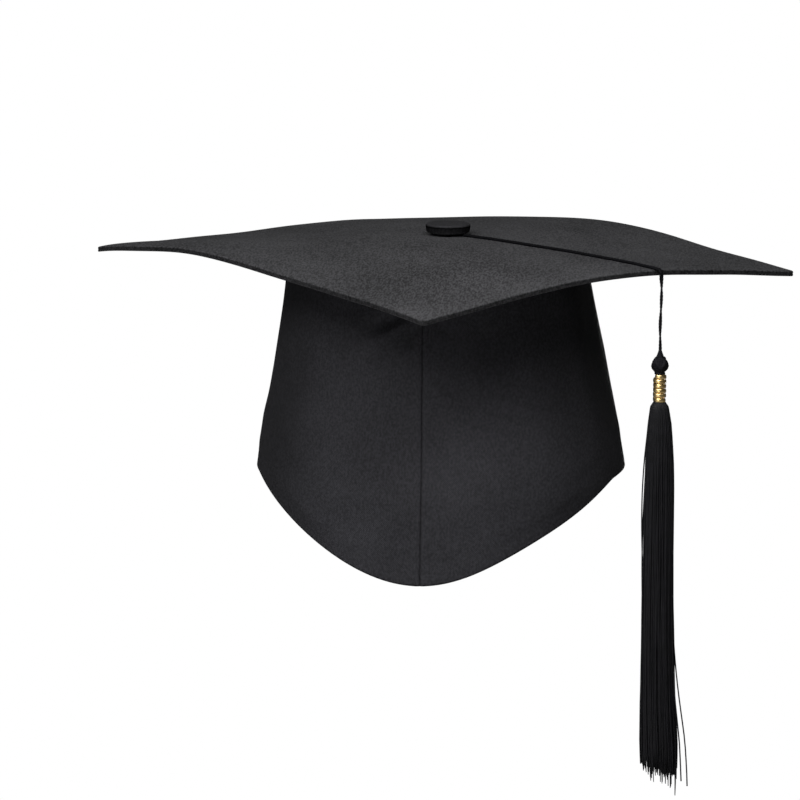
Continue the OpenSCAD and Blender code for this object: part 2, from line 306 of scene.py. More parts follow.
def cloth_material(name, dark, light, thread=0.5, sheen=0.25, roughness=0.85, grain=0.5, specular=0.2,
                   painted_side_shade=1.0, painted_turn_shade=1.0):
    """Woven cloth: a fine twill under a fibrous grain, with slow changes of shade."""
    s = Shader(name)
    u, v = s.split(s.weave_uv())[:2]
    turn = TAU / thread
    twill = s.wave(s.add(u, v), turn * 0.5)
    plain = s.times(s.wave(u, turn), s.wave(v, turn))
    weave = s.add(s.times(twill, 0.6), s.times(plain, 0.4))
    place = s.place()
    fibre = s.noise(place, 1.1, 4.0, 0.65)
    fleck = s.noise(s.stretched(place, (1.1, 0.34, 0.7)), 1.0, 2.0, 0.6)
    slow = s.noise(place, 0.02, 2.0)
    middle = 0.5 - 0.5 * grain
    shade = s.add(s.ramp(fibre, 0.38, 0.62, 0.0, 0.45 * grain), s.ramp(fleck, 0.4, 0.6, 0.0, 0.55 * grain))
    shade = s.add(shade, s.ramp(weave, -1, 1, 0.0, 0.22))
    shade = s.add(shade, s.ramp(slow, 0.3, 0.7, middle - 0.2, middle + 0.08), clamp=True)
    colour = s.mix(shade, dark, light)
    if painted_side_shade < 1:  # painted shade: upright faces, such as the board's edge and the button's side, get darker colour, specular and sheen than faces that lie flat
        facing = s.split(s.node("NewGeometry").outputs["Normal"])[2]
        flat = s.ramp(s.math("ABSOLUTE", facing), 0.1, 0.75, painted_side_shade, 1.0)
        colour = s.scaled(colour, flat)
        specular, sheen = s.times(flat, specular), s.times(flat, sheen)
    if painted_turn_shade < 1:  # painted shade: the colour darkens where the cloth turns away from the camera
        away = s.node("LayerWeight", Blend=0.5).outputs["Facing"]
        colour = s.scaled(colour, s.ramp(away, 0.12, 0.6, 1.0, painted_turn_shade))
    rough = s.ramp(fibre, 0.2, 0.8, roughness - 0.08, min(roughness + 0.08, 1.0))
    s.set(Base_Color=colour, Roughness=rough, Sheen_Weight=sheen, Sheen_Roughness=0.4,
          Sheen_Tint=(0.75, 0.76, 0.8, 1), Specular_IOR_Level=specular)
    s.bump(s.add(s.times(weave, 0.35), s.times(fibre, 1.3)), 0.00012, 0.7)
    return s.material


def satin_material(name, dark, light):
    """Lining satin: long floats that shine along one direction."""
    s = Shader(name)
    floats = s.noise(s.stretched(s.weave_uv(), (0.25, 3.5, 1.0)), 1.0, 3.0, 0.6)
    slow = s.noise(s.place(), 0.03, 2.0)
    shade = s.add(s.times(s.ramp(floats, 0.3, 0.7), 0.5), s.ramp(slow, 0.3, 0.7, 0.0, 0.4), clamp=True)
    s.set(Base_Color=s.mix(shade, dark, light), Roughness=s.ramp(floats, 0.3, 0.7, 0.34, 0.52),
          Sheen_Weight=0.1, Specular_IOR_Level=0.45)
    s.bump(floats, 0.00006, 0.5)
    return s.material


def yarn_material(name, dark, light, roughness, specular, ply=1.1, sheen=0.0):
    """Silky yarn, with fibres that run round and along it. UV v is the distance along the yarn."""
    s = Shader(name)
    round_, along = s.split(s.weave_uv())[:2]
    lay = s.wave(s.add(s.times(round_, 3.0), s.times(along, 1 / ply)), TAU)
    fibre = s.noise(s.place(), 2.5, 3.0, 0.6)
    slow = s.noise(s.place(), 0.25, 2.0)
    shade = s.add(s.ramp(lay, -1, 1, 0.0, 0.35), s.times(s.ramp(fibre, 0.3, 0.7), 0.35))
    shade = s.add(shade, s.ramp(slow, 0.3, 0.7, 0.0, 0.4), clamp=True)
    s.set(Base_Color=s.mix(shade, dark, light), Sheen_Weight=sheen, Specular_IOR_Level=specular,
          Roughness=s.ramp(fibre, 0.2, 0.8, roughness - 0.08, roughness + 0.1))
    s.bump(s.add(s.times(lay, 0.5), fibre), 0.00008, 0.6)
    return s.material


def metal_material(name, dark, light, roughness):
    s = Shader(name)
    place = s.place()
    fine = s.noise(place, 6.0, 3.0, 0.6)
    slow = s.noise(place, 0.35, 2.0)
    shade = s.add(s.times(fine, 0.4), s.times(s.ramp(slow, 0.3, 0.7), 0.6), clamp=True)
    s.set(Base_Color=s.mix(shade, dark, light), Metallic=1.0,
          Roughness=s.ramp(slow, 0.25, 0.75, roughness - 0.05, roughness + 0.08))
    s.bump(fine, 0.00002, 0.5)
    return s.material


def plastic_material(name, dark, light, smooth=0.45, rough=0.6):
    s = Shader(name)
    fine = s.noise(s.place(), 1.6, 3.0, 0.6)
    s.set(Base_Color=s.mix(fine, dark, light), Roughness=s.ramp(fine, 0.2, 0.8, smooth, rough),
          Specular_IOR_Level=0.3)
    s.bump(fine, 0.00004, 0.5)
    return s.material


# the board cloth gets painted shade on its upright edge, by painted_side_shade
board_cloth = cloth_material("board_cloth", (0.0033, 0.0033, 0.0035), (0.0545, 0.0542, 0.0575),
                             grain=1.0, sheen=0.03, painted_side_shade=0.42)
# the crown cloth gets painted shade where it turns away from the camera, by painted_turn_shade
crown_cloth = cloth_material("crown_cloth", (0.0062, 0.0062, 0.0075), (0.0295, 0.029, 0.0335),
                             grain=0.65, sheen=0.0, painted_turn_shade=0.58)
# the button cloth gets painted shade on its upright side and where it turns away from the camera
button_cloth = cloth_material("button_cloth", (0.0082, 0.0082, 0.009), (0.031, 0.0306, 0.034),
                              grain=0.6, sheen=0.0, painted_side_shade=0.06, painted_turn_shade=0.8)
lining_satin = satin_material("lining_satin", (0.008, 0.008, 0.009), (0.022, 0.022, 0.024))
band_cloth = cloth_material("band_cloth", (0.011, 0.011, 0.012), (0.026, 0.026, 0.028),
                            thread=0.35, sheen=0.1, roughness=0.7)
interlining_cloth = cloth_material("interlining_cloth", (0.42, 0.42, 0.4), (0.62, 0.62, 0.6),
                                   thread=0.8, sheen=0.0)
elastic_cloth = cloth_material("elastic_cloth", (0.02, 0.02, 0.021), (0.05, 0.05, 0.052),
                               thread=1.1, sheen=0.05)
label_cloth = cloth_material("label_cloth", (0.55, 0.55, 0.53), (0.75, 0.75, 0.72),
                             thread=0.3, sheen=0.1, roughness=0.6)
cord_yarn = yarn_material("cord_yarn", (0.0009, 0.0009, 0.0012), (0.0036, 0.0036, 0.0046), 0.65, 0.08)
tassel_yarn = yarn_material("tassel_yarn", (0.0016, 0.0016, 0.002), (0.0076, 0.0075, 0.0092), 0.48, 0.16)
knot_yarn = yarn_material("knot_yarn", (0.0013, 0.0013, 0.0018), (0.0058, 0.0058, 0.0082), 0.7, 0.12)
stitch_thread = yarn_material("stitch_thread", (0.004, 0.004, 0.0045), (0.014, 0.014, 0.016), 0.6, 0.15,
                              ply=0.5, sheen=0.1)
gilt = metal_material("gilt_wire", (0.64, 0.41, 0.13), (0.93, 0.73, 0.38), 0.32)
button_metal = metal_material("button_metal", (0.5, 0.5, 0.51), (0.68, 0.68, 0.69), 0.38)
board_sheet = plastic_material("board_sheet", (0.5, 0.5, 0.48), (0.62, 0.62, 0.6))
bead_plastic = plastic_material("bead_plastic", (0.002, 0.002, 0.0025), (0.004, 0.004, 0.005), 0.8, 0.95)

# ---------- the board's shape ----------

EDGE_R = 0.75        # how far the rounded edge reaches in
CORNER_R = 2.6
CORNER_AT = 173      # distance of the corners from the centre
LIP = 3.2            # how far the top cloth comes back under the board
# How the real board leaves an even sag: (x, y, height, width) of each soft bulge or hollow
BULGES = [
    (0, -178, -2.0, 55), (-139, -36, 5.1, 34), (-108, -72, 2.6, 34), (-176, 0, 3.2, 22), (-90, 60, -2.3, 46),
    (-22, 160, -3.2, 36), (62, 66, 2.5, 40), (132, 25, -2.3, 42), (86, -88, 1.7, 40), (176, 0, -0.3, 30),
]
BUTTON_FLAT = 24.0   # the button holds the board's middle flat this far out
buckle = Ripple(3, 14, 46, 46)


def board_z(x, y):
    """Height of the board's upper face."""
    r2 = x * x + y * y
    z = APEX - DOME + np.sqrt(DOME * DOME - r2)
    soft = 0.10 * buckle(x, y)
    for cx, cy, height, width in BULGES:
        soft = soft + height * bell(x, y, cx, cy, width)
    return z + soft * (1 - np.exp(-r2 / (2 * BUTTON_FLAT ** 2)))


def spaced(half, step):
    """Coordinates across the board, closer together at its edges."""
    inner = np.linspace(-half + 3, half - 3, int(2 * HALF / step))
    edge = half - np.array((0, 0.35, 0.8, 1.3, 1.9))
    return np.r_[-edge, inner, edge[::-1]]


def rounded(s, t, inset):
    """Moves points of a square grid so that its corners are rounded."""
    corner = max(CORNER_R - inset, 0.6)
    start = HALF - inset - corner
    a = np.clip((np.abs(s) - start) / corner, 0, 1)
    b = np.clip((np.abs(t) - start) / corner, 0, 1)
    both = (a > 0) & (b > 0)
    s2 = np.where(both, np.sign(s) * (start + corner * a * np.sqrt(1 - b * b / 2)), s)
    t2 = np.where(both, np.sign(t) * (start + corner * b * np.sqrt(1 - a * a / 2)), t)
    return s2, t2


def board_xy(s, t):
    """Plan position of a point of the board. Two corners have been pulled a little out of true."""
    x, y = (s - t) / math.sqrt(2), (s + t) / math.sqrt(2)
    return x + 2.3 * bell(x, y, 0, -CORNER_AT, 45) - 4.6 * bell(x, y, -CORNER_AT, 0, 50), y


def outline(inset):
    """Points round the board at an inset from its edge, in board axes."""
    half = HALF - inset
    line = spaced(half, 2.5)
    n = len(line) - 1
    s = np.concatenate([line[:-1], np.full(n, half), line[:0:-1], np.full(n, -half)])
    t = np.concatenate([np.full(n, -half), line[:-1], np.full(n, half), line[:0:-1]])
    return rounded(s, t, inset)


def board_ring(inset, depth):
    x, y = board_xy(*outline(inset))
    return np.stack([x, y, board_z(x, y) - depth], 1)


def board_grid(inset, depth, step=2.5):
    """Points over the board at a depth below its face, and their places on the flat cloth."""
    line = spaced(HALF - inset, step)
    s, t = rounded(*np.meshgrid(line, line, indexing="xy"), inset)
    x, y = board_xy(s, t)
    return np.stack([x, y, board_z(x, y) - depth], -1), np.stack([s, t], -1)


def edge_profile(reach, depth, joint=0.0):
    """(inset, depth) pairs round the board's edge, from the top down, for a face at a depth inside
    the cloth. The joint is a dent half way down."""
    squareness = 0.62
    pairs = []
    for a in np.linspace(math.pi / 2, -math.pi / 2, 13):
        c = abs(math.cos(a)) ** squareness
        s = math.copysign(abs(math.sin(a)) ** squareness, math.sin(a))
        dent = joint * math.exp(-(s / 0.16) ** 2)
        pairs.append((depth + reach * (1 - c) + dent, depth + (BOARD_T - 2 * depth) / 2 * (1 - s)))
    return pairs


def perimeter(cols):
    """Indices round the edge of a cols x cols grid, in the order of outline()."""
    i = np.arange(cols * cols).reshape(cols, cols)
    return np.concatenate([i[0, :-1], i[:-1, -1], i[-1, :0:-1], i[:0:-1, 0]])


# ---------- board pieces ----------


def board_top():
    """The top cloth: over the board, round its edge and back underneath as far as the lip."""
    thick = 0.45
    points, faces, uv, ends = [], [], [], []
    count = 0
    outside = edge_profile(EDGE_R, 0.0, joint=0.2)
    inside = edge_profile(EDGE_R - 0.2, thick)
    for profile, depth, flip in ((outside, 0.0, False), (inside, thick, True)):
        grid, flat = board_grid(profile[0][0], depth)
        cols = grid.shape[0]
        points.append(grid.reshape(-1, 3))
        uv.append(flat.reshape(-1, 2))
        faces.append(grid_faces(cols, cols, count, flip))
        ring = perimeter(cols) + count
        count += cols * cols
        under = BOARD_T - depth
        for inset, d in profile[1:] + [((EDGE_R + LIP) / 2, under), (LIP, under)]:
            p = board_ring(inset, d)
            points.append(p)
            uv.append(np.stack(outline(inset), 1) * (1 + d / HALF))
            lower = count + np.arange(len(p))
            quads = np.stack([ring, lower, np.roll(lower, -1), np.roll(ring, -1)], 1)
            faces.append(quads[:, ::-1] if flip else quads)
            ring = lower
            count += len(p)
        ends.append(ring)
    a, b = ends
    faces.append(np.stack([a, b, np.roll(b, -1), np.roll(a, -1)], 1))
    make_object("board_top_cloth", np.concatenate(points), np.concatenate(faces), board_cloth,
                np.concatenate(uv), body="cap", slot="board_cloth", replaces=["board_top_cover"])


def board_core():
    """The flexible sheet between the board's two cloths."""
    top, uv = board_grid(1.2, 0.5, 4.0)
    low, _ = board_grid(1.2, 1.7, 4.0)
    sheet("board_stiff_sheet", top, low, board_sheet, uv, body="cap", slot="board_sheet",
          replaces=["board_stiffener"])


def board_under():
    """The cloth underneath, from the crown's seam out to the lip of the top cloth."""
    x, y = board_xy(*outline(LIP + 0.15))
    edge = np.stack([x, y], 1)
    heading = np.degrees(np.arctan2(y, x - crown_shift(SEAM_Z))) + 90 - TURN
    ring = crown_point(heading, np.full(heading.shape, SEAM_Z), -0.6)[:, :2]
    steps = (np.linspace(0, 1, 34) ** 1.15)[:, None, None]
    flat = ring[None] + (edge - ring)[None] * steps
    z = board_z(flat[..., 0], flat[..., 1])
    around = np.radians(np.broadcast_to(heading[None], z.shape))
    tuck = 0.16 * pucker(around, 0.0) * np.exp(-steps[..., 0] * 12)
    sheet("board_under_cloth", np.dstack([flat, z - BOARD_T + 0.4]), np.dstack([flat, z - BOARD_T - tuck]),
          board_cloth, flat, wrap=True, body="cap", slot="board_cloth", replaces=["board_bottom_cover"])


# ---------- the crown's shape ----------

PEAK_REACH = 74.0      # angle where the front peak's curve ends
PEAK_BLUNT = 34.0      # how round the peak's tip is
TURN = -1.5            # the crown sits a little turned on the board
# Drag folds of the outer cloth at the front: (s, z) where each starts, (s, z) where it ends, height
# (outwards), and width at its start and its end. s is the distance round the crown from the front seam.
DRAG_FOLDS = [
    (-7, 90, -31, 79.5, -2.2, 1.7, 2.8), (-4, 87.5, -42, 64, 2.4, 2.2, 6), (-2, 86, -24, 60, -2.2, 2, 4.4),
    (-12, 94, -40, 87, 1.1, 2.4, 5), (-20, 96, -58, 84, -0.9, 3, 7), (3, 89, 22, 74, -0.8, 2, 5),
    (4, 93, 34, 86, -0.8, 2.4, 6), (14, 78, 52, 40, 0.9, 5, 13), (-30, 62, -62, 20, -0.8, 7, 14),
]
crown_soft = Ripple(21, 16, 1.3, 70.0, whole_turns=True)
crown_crease = Ripple(22, 12, 0.45, 60.0, whole_turns=True)
pucker = Ripple(23, 10, 0.1, 40.0, whole_turns=True)
gather = Ripple(24, 6, 0.075, 120.0, whole_turns=True)


def signed(a):
    """A crown angle between -180 and 180."""
    return (a + 180) % 360 - 180


def crown_shift(z):
    """X of the crown's centre at a height: it leans towards the wearer's right."""
    return -2.6 - 1.6 * (np.clip(z, 0, None) / 100) ** 1.2 - 1.0 * smoothstep(50, 88, z)


def rim_height(a):
    """Height of the rim at a crown angle."""
    lean = signed(a)
    a = np.abs(lean)
    share = 1 - (np.hypot(a, PEAK_BLUNT) - PEAK_BLUNT) / (math.hypot(PEAK_REACH, PEAK_BLUNT) - PEAK_BLUNT)
    share = (share + np.sqrt(share ** 2 + 0.03 ** 2)) / 2
    back = smoothstep(100, 180, a)
    uneven = 2.3 * gauss(lean - 31, 15) + 1.5 * gauss(lean - 82, 13)
    return -(PEAK + 0.6) * share ** 1.5 - NAPE * back ** 0.8 + uneven


def folds(a, z):
    """Height of the drag folds. Outwards is positive."""
    s = np.radians(a) * 82.0
    total = 0.0
    for s0, z0, s1, z1, height, w0, w1 in DRAG_FOLDS:
        length = math.hypot(s1 - s0, z1 - z0)
        along = ((s - s0) * (s1 - s0) + (z - z0) * (z1 - z0)) / length
        across = ((s - s0) * (z1 - z0) - (z - z0) * (s1 - s0)) / length
        width = w0 + (w1 - w0) * np.clip(along / length, 0, 1)
        fade = smoothstep(-5, 8, along) * (1 - smoothstep(0.45, 1.15, along / length))
        total = total + height * gauss(across, width) * fade
    return total


def crown_point(a, z, inset=0.0, ease=0.0):
    """A point of the crown's wall. Inset is counted inwards from the outer cloth's face, and ease is
    extra slack inwards."""
    ar, lean = np.radians(a), signed(a)
    up = np.clip(z, 0, SEAM_Z)
    # a cone down to the sides' rim, steeper below it, a little fuller half way up and at the rim
    r = np.where(z > 0, RIM_R + (SEAM_R - RIM_R) * up / SEAM_Z, RIM_R - 0.06 * z) + 0.2 - 1.45 * up / SEAM_Z
    r = r + 0.9 * gauss(z - 64, 13) + 0.4 * gauss(z - 2, 12)
    free = smoothstep(0, 22, SEAM_Z - z)       # held round at the board
    above = z - rim_height(a)
    low = smoothstep(0, 12, above)
    d = 0.55 * crown_soft(ar, z) * free * (0.35 + 0.65 * low) + 0.28 * crown_crease(ar, z) * free * low
    d = d + folds(lean, z) * smoothstep(0, 14, SEAM_Z - z)
    d = d + 2.0 * gauss(lean - 32, 17) * gauss(z - 6, 24)      # a soft belly beside the front seam
    d = d + 0.22 * pucker(ar, z) * gauss(SEAM_Z - z, 7)
    # the elastic gathers the back and draws it in
    back = 1 - smoothstep(30, 46, 180 - np.abs(lean))
    fade = np.where(above < 15, 1.0, np.exp(-np.clip(above - 15, 0, None) / 26.0))
    d = d + back * 1.15 * gather(ar, z) * fade
    d = d - back * 1.2 * gauss(above - 14, 12)
    radius = r + d - inset - ease
    phi = np.radians(a + TURN * (1 - 0.7 * smoothstep(40, 100, z)) - 90)
    return np.stack([radius * np.cos(phi) + crown_shift(z), radius * np.sin(phi), z + 0 * radius], -1)


def crown_top(a):
    """Height where the wall meets the board's underside."""
    p = crown_point(a, np.full(np.shape(a), SEAM_Z))
    return board_z(p[..., 0], p[..., 1]) - BOARD_T


def wall_grid(a, low, high, shares):
    """Angles and heights over the wall, at shares of the way from the heights low(a) up to high(a)."""
    z = low[None] + (high - low)[None] * shares[:, None]
    return np.broadcast_to(a[None], z.shape), z


def wall_uv(a, z):
    return np.stack([np.radians(a) * 84.0, z], -1)


def wall_piece(name, a, low, high, rows, layer, material, slot, node, ease=None):
    """A layer of the crown's wall between two heights at each of the angles a."""
    inset, thick = LAYERS[layer]
    aa, z = wall_grid(a, low, high, np.linspace(0, 1, rows))
    extra = ease(aa, z) if ease else 0.0
    outer, inner = crown_point(aa, z, inset, extra), crown_point(aa, z, inset + thick, extra)
    sheet(name, outer, inner, material, wall_uv(aa, z), body="cap", slot=slot, replaces=[node])


def half_angles(side, columns):
    """Angles of one half of the crown, closer together at its two seams."""
    t = np.linspace(0, 1, columns)
    a = 180 * (t - 0.055 * np.sin(TAU * t))
    return a if side > 0 else a[::-1] * -1


def outer_relief(a, z):
    """Detail of the outer cloth: the hem, its stitch line and the two seams. Outwards is positive."""
    above = z - rim_height(a)
    hem = 0.22 * (1 - smoothstep(HEM - 1.2, HEM + 0.4, above)) - 0.16 * gauss(above - (HEM - 1.4), 0.5)
    rim = -0.35 * (1 - smoothstep(0, 0.9, above))
    seam_distance = np.minimum(np.abs(a), 180 - np.abs(a)) * math.pi / 180 * 85
    seam = -0.32 * np.exp(-seam_distance / 0.5) + 0.2 * gauss(seam_distance - 1.6, 1.0)
    seam = seam + 0.12 * gauss(seam_distance - 2.0, 2.0) * np.sin(z * 0.9 + 1.3 * np.sin(z * 0.21))
    return hem + rim + seam


# ---------- the crown's slack, from Blender's cloth ----------

SIM_SCALE = 10.0            # Blender's cloth keeps 1 mm off what it touches, so it is run this much larger
SIM_ROWS, SIM_COLS = 56, 96
OVERSIZE = 0.008            # how much too large the cloth is cut
SLACK_LIMITS = (-0.2, 1.1)


def sim_object(name, points):
    mesh = bpy.data.meshes.new(name)
    faces = grid_faces(SIM_ROWS, SIM_COLS).tolist()
    mesh.from_pydata((points.reshape(-1, 3) * MM * SIM_SCALE).tolist(), [], faces)
    obj = bpy.data.objects.new(name, mesh)
    bpy.context.scene.collection.objects.link(obj)
    return obj


def settle(grid, form_grid, held, frames=30):
    """Blender's cloth, cut a little too large, over a stiff form. Returns where its points come to rest."""
    scene = bpy.context.scene
    form = sim_object("form", form_grid)
    form.modifiers.new("form", "COLLISION")
    form.collision.thickness_outer = 0.001
    form.collision.thickness_inner = 0.05
    form.collision.cloth_friction = 2.0
    obj = sim_object("settling", grid)
    group = obj.vertex_groups.new(name="held")
    group.add(np.flatnonzero(held).tolist(), 1.0, "REPLACE")
    cloth = obj.modifiers.new("cloth", "CLOTH")
    settings = dict(
        vertex_group_mass="held", quality=6, mass=0.1, tension_stiffness=14, compression_stiffness=14,
        shear_stiffness=5, bending_stiffness=0.6, air_damping=2.0, shrink_min=-OVERSIZE)
    for key, value in settings.items():
        setattr(cloth.settings, key, value)
    cloth.settings.effector_weights.gravity = 0.5
    cloth.collision_settings.use_collision = True
    cloth.collision_settings.distance_min = 0.003
    cloth.collision_settings.collision_quality = 3
    cloth.point_cache.frame_start, cloth.point_cache.frame_end = 1, frames
    for step in range(1, frames + 1):
        scene.frame_set(step)
    result = obj.evaluated_get(bpy.context.evaluated_depsgraph_get())
    settled = np.zeros(grid.size)
    result.data.vertices.foreach_get("co", settled)
    for made in (obj, form):
        used = made.data
        bpy.data.objects.remove(made)
        bpy.data.meshes.remove(used)
    scene.frame_set(1)
    return settled.reshape(grid.shape) / MM / SIM_SCALE


def slack_of(side):
    """Outward slack of a crown half after its cloth has settled."""
    a = half_angles(side, SIM_COLS)
    aa, z = wall_grid(a, rim_height(a), crown_top(a), np.linspace(0, 1, SIM_ROWS))
    rest = crown_point(aa, z)
    form = crown_point(aa, z, LAYERS["interlining"][0])
    held = np.zeros(z.shape, bool)
    held[:4] = held[-2:] = True
    held[:, :2] = held[:, -2:] = True
    moved = settle(rest, form, held) - rest
    phi = np.radians(aa + TURN - 90)
    out = moved[..., 0] * np.cos(phi) + moved[..., 1] * np.sin(phi)
    for _ in range(4):  # takes out folds narrower than the grid can hold
        out[1:-1] = (out[:-2] + 2 * out[1:-1] + out[2:]) / 4
        out[:, 1:-1] = (out[:, :-2] + 2 * out[:, 1:-1] + out[:, 2:]) / 4
    return np.clip(out, *SLACK_LIMITS)


def resample(field, row_share, cols):
    """A coarse field over (share of height, share of width), read at finer rows and columns."""
    rows0, cols0 = field.shape
    wide = np.array([np.interp(np.linspace(0, 1, cols), np.linspace(0, 1, cols0), row) for row in field])
    return np.array([np.interp(row_share, np.linspace(0, 1, rows0), column) for column in wide.T]).T


# ---------- crown pieces ----------


def crown_half(side, tag):
    """Outer cloth, interlining and lining of one half of the crown."""
    a = half_angles(side, 200)
    rim, top = rim_height(a), crown_top(a)
    # the rows are closer at the hem and at the board
    t = np.linspace(0, 1, 96)
    t = t - 0.06 * np.sin(TAU * t)
    aa, z = wall_grid(a, rim, top, t)
    add = outer_relief(aa, z) + resample(slack_of(side), t, len(a))
    outer, inner = crown_point(aa, z, -add), crown_point(aa, z, 0.5 - np.minimum(add, 0))
    sheet(f"crown_{tag}_cloth", outer, inner, crown_cloth, wall_uv(aa, z), body="cap",
          slot="crown_cloth", replaces=[f"crown_outer_{tag}"])

    # the layers behind give way where the outer cloth is drawn in
    def interlining_ease(p, q):
        return 0.25 * np.abs(folds(p, q)) - np.minimum(outer_relief(p, q), 0)

    slack = Ripple(31 if side > 0 else 32, 14, 0.5, 45.0, whole_turns=True)

    def lining_ease(p, q):
        loose = smoothstep(34, 55, q - rim_height(p)) * (1 - smoothstep(SEAM_Z - 8, SEAM_Z, q))
        bag = np.clip(1.0 + 0.6 * slack(np.radians(p), q), 0.05, 2.4) * loose
        return bag + 0.3 * np.abs(folds(p, q)) - np.minimum(outer_relief(p, q), 0)

    a, rim, top = a[1:-1], rim[1:-1], top[1:-1]
    wall_piece(f"crown_{tag}_interlining", a, rim + 7, top - 0.4, 80, "interlining", interlining_cloth,
               "interlining", f"crown_interlining_{tag}", interlining_ease)
    wall_piece(f"crown_{tag}_lining", a, rim + 0.9, top - 0.5, 70, "lining", lining_satin,
               "lining_cloth", f"crown_lining_{tag}", lining_ease)


def ceiling():
    """The lining's ceiling: it sags a little and gathers into its seam."""
    angles = np.arange(0, 360, 3.0)
    ring = crown_point(angles, np.full(angles.shape, SEAM_Z - 0.7), 1.9)[:, :2]
    centre = ring.mean(0)
    radii = np.linspace(0.001, 1, 27)[:, None]
    flat = centre + (ring - centre)[None] * radii[..., None]
    gathers = Ripple(41, 8, 0.14, 200.0, whole_turns=True)
    sag = -1.1 * (1 - radii ** 2) + 0.22 * gathers(np.radians(angles)[None], radii * 70) * radii ** 3
    upper, lower = np.dstack([flat, SEAM_Z - 0.55 + sag]), np.dstack([flat, SEAM_Z - 0.85 + sag])
    sheet("crown_ceiling_satin", upper, lower, lining_satin, flat, wrap=True, body="cap",
          slot="lining_cloth", replaces=["crown_ceiling_lining"])


BAND_LOW = 1.6       # the sweatband and the casing start this far above the rim
crimp = Ripple(51, 6, 0.05, 300.0, whole_turns=True)


def casing_ease(a, z):
    """The casing is gathered by the elastic inside it."""
    return 0.35 + 0.32 * crimp(np.radians(a), z)


def bands():
    """Sweatband, elastic, casing and label, round the inside of the rim."""
    def band(name, first, last, columns, low, high, rows, layer, material, slot, node, ease=None):
        a = np.linspace(first, last, columns)
        rim = rim_height(a)
        wall_piece(name, a, rim + low, rim + high, rows, layer, material, slot, node, ease)

    high = BAND_LOW + BAND_H
    band("sweatband_cloth", -141, 141, 260, BAND_LOW, high, 26, "sweatband", band_cloth, "lining_cloth",
         "sweatband")
    band("elastic_tape", 143.2, 216.8, 120, 3, BAND_H, 14, "elastic", elastic_cloth, "elastic",
         "elastic_band")
    band("elastic_casing_cloth", 142.5, 217.5, 240, BAND_LOW, high, 26, "casing", band_cloth, "lining_cloth",
         "elastic_casing", casing_ease)
    a = np.linspace(172.1, 187.9, 40)
    wall_piece("blank_label", a, np.full(40, -8.5), np.full(40, 5.5), 18, "label", label_cloth, "label",
               "size_label")

# ---------- button ----------

low, high = box_mm("button_cover")
BUTTON_Z, BUTTON_H, BUTTON_R = low[2], high[2] - low[2], (high[0] - low[0]) / 2
SHOULDER_R, FOOT_R = 1.3, 1.0       # how round the button's upper and lower edges are
DRAWN_IN = 0.45                     # how far its sides draw in at the foot
BACK_R = 8.2                        # opening in the cloth at the back
pleats = Ripple(61, 8, 0.16, 9.0, whole_turns=True)


def button_profile(inset):
    """(radius, height) from the underside over the rim to the top: a low dome over sides drawn in."""
    edge, foot = SHOULDER_R - inset, FOOT_R - inset
    r_top, r_low = BUTTON_R - inset - edge, BUTTON_R - DRAWN_IN - inset - foot
    shoulder = BUTTON_H - SHOULDER_R - 0.6
    dome = BUTTON_H - inset - (shoulder + edge * math.sin(math.radians(80)))
    lower, upper = np.radians(np.linspace(-75, -10, 5)), np.radians(np.linspace(-14, 76, 9))
    pairs = [(r, inset) for r in np.linspace(BACK_R, r_low, 5)]
    pairs += [(r_low + foot * math.cos(q), FOOT_R + foot * math.sin(q)) for q in lower]
    pairs += [(r_top + edge * math.cos(q), shoulder + edge * math.sin(q)) for q in upper]
    pairs += [(r_top * q, BUTTON_H - inset - dome * q ** 2) for q in np.linspace(0.95, 0.03, 16)]
    return np.array(pairs)


def button_layer(name, outside, inside, material, ruffle, slot, node):
    """A closed layer between two button profiles, both open at the back. The ruffle is the height of
    the pleats at the foot."""
    phi = np.radians(np.arange(0, 360, 2.5))[None]
    grids = []
    for inset in (outside, inside):
        profile = button_profile(inset)
        r, z = profile[:, :1], profile[:, 1:]
        wave = ruffle * pleats(phi, z) * (1 - smoothstep(1.5, 4.0, z))
        raised = BUTTON_Z + z + 0.4 * wave * (r > 6)
        r = r + wave
        grids.append(np.dstack([r * np.cos(phi), r * np.sin(phi), raised]))
    rows, cols = grids[0].shape[:2]
    size = rows * cols + 1
    points = np.concatenate([np.concatenate([g.reshape(-1, 3), [g[-1].mean(0)]]) for g in grids])
    faces = [tuple(f) for f in grid_faces(rows, cols, 0, False, True)]
    faces += [tuple(f) for f in grid_faces(rows, cols, size, True, True)]
    last = (rows - 1) * cols
    for k in range(cols):
        n = (k + 1) % cols
        faces.append((last + k, last + n, rows * cols))
        faces.append((size + last + n, size + last + k, size + rows * cols))
        faces.append((n, k, size + k, size + n))
    uv = points[:, :2] + points[:, 2:] * (1, 0)
    make_object(name, points, faces, material, uv, body="cap", slot=slot, replaces=[node])


# ---------- cord ----------

lift, swing_out, swing_side = map(joint_mm, ("cord_lift", "tassel_swing_out", "tassel_swing_side"))
CORD_DIR = swing_out[:2] / np.linalg.norm(swing_out[:2])
CORD_SIDE = np.array([-CORD_DIR[1], CORD_DIR[0]])
# distances of the three hinges from the button's axis; the cord hangs from the last
LIFT_R, OUT_R, HANG_R = (np.linalg.norm(hinge[:2]) for hinge in (lift, swing_out, swing_side))
STRAND = 0.62        # radius of one strand of the cord
TAUT = 0.48          # the same strand where the tassel's weight pulls it tight
APART = 0.5          # how far each strand lies from the cord's middle
TAUT_APART = 0.32
TWIST = 21.0         # length in which the hanging strands turn once round each other
LOOP_R = 2.58 + STRAND
SPLIT_R = 70.0       # the cord on the board is made in two pieces that meet here
RUN_RHO = np.arange(LOOP_R * 0.4, OUT_R - 0.4, 0.45)
SPLIT = int(np.argmin(abs(RUN_RHO - SPLIT_R)))
PLY = dict(sides=10, lobes=2, lobe_depth=0.13, pitch=3.4)
HEAD = np.mean(box_mm("head_wrap"), 0)
AXIS = HEAD[:2]


